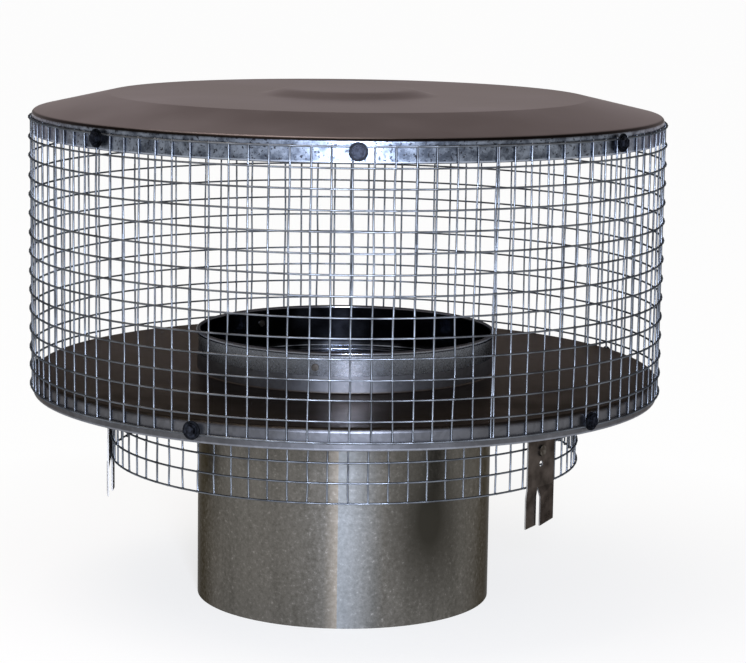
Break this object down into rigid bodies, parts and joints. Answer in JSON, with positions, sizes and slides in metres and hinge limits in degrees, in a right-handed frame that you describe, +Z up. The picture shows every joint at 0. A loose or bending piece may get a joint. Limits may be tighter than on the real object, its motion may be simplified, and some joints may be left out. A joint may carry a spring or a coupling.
{
  "type": "chimney cap",
  "caption": "Round slip-in chimney cap: stepped sheet lid and flat pan joined by a screwed welded-wire cage, with a flue pipe, wire skirt and slit hanger straps below.",
  "frame": {"origin": "centre of the flue pipe's lower rim, on the surface it stands on", "axes": "+Z up the flue's axis; -Y towards the viewer in the picture; +X to the viewer's right"},
  "size_m": [0.4274, 0.4288, 0.3442],
  "materials": {
    "flue_steel": "matt aluminised steel, finely mottled",
    "bright_stainless": "bright-rolled stainless steel",
    "galvanised_sheet": "galvanised, fine spangle, slightly dulled",
    "weathered_galvanised": "galvanised, smooth and brown-grey on top",
    "mesh_wire": "hot-dip galvanised welded wire",
    "screw_steel": "dark phosphated steel",
    "washer_steel": "dark zinc-plated steel",
    "rivet_steel": "dull steel",
    "strap_steel": "dull dark steel strip with bright sheared edges"
  },
  "bodies": {
    "root": {"flue_pipe": "flue_steel", "flue_sleeve": "bright_stainless", "base_pan": "galvanised_sheet", "lid": "weathered_galvanised", "cage_mesh": "mesh_wire", "skirt_mesh": "mesh_wire", "sleeve_rivet_1": "rivet_steel", "sleeve_rivet_2": "rivet_steel", "sleeve_rivet_3": "rivet_steel", "lid_screw_1": "screw_steel", "lid_screw_2": "screw_steel", "lid_screw_3": "screw_steel", "lid_screw_4": "screw_steel", "lid_screw_5": "screw_steel", "lid_screw_6": "screw_steel", "lid_screw_7": "screw_steel", "lid_washer_1": "washer_steel", "lid_washer_2": "washer_steel", "lid_washer_3": "washer_steel", "lid_washer_4": "washer_steel", "lid_washer_5": "washer_steel", "lid_washer_6": "washer_steel", "lid_washer_7": "washer_steel", "base_screw_1": "screw_steel", "base_screw_2": "screw_steel", "base_screw_3": "screw_steel", "base_screw_4": "screw_steel", "base_screw_5": "screw_steel", "base_washer_1": "washer_steel", "base_washer_2": "washer_steel", "base_washer_3": "washer_steel", "base_washer_4": "washer_steel", "base_washer_5": "washer_steel", "hanger_strap_1": "strap_steel", "hanger_strap_2": "strap_steel", "hanger_strap_3": "strap_steel", "strap_rivet_1": "rivet_steel", "strap_rivet_2": "rivet_steel", "strap_rivet_3": "rivet_steel"}
  },
  "joints": []
}
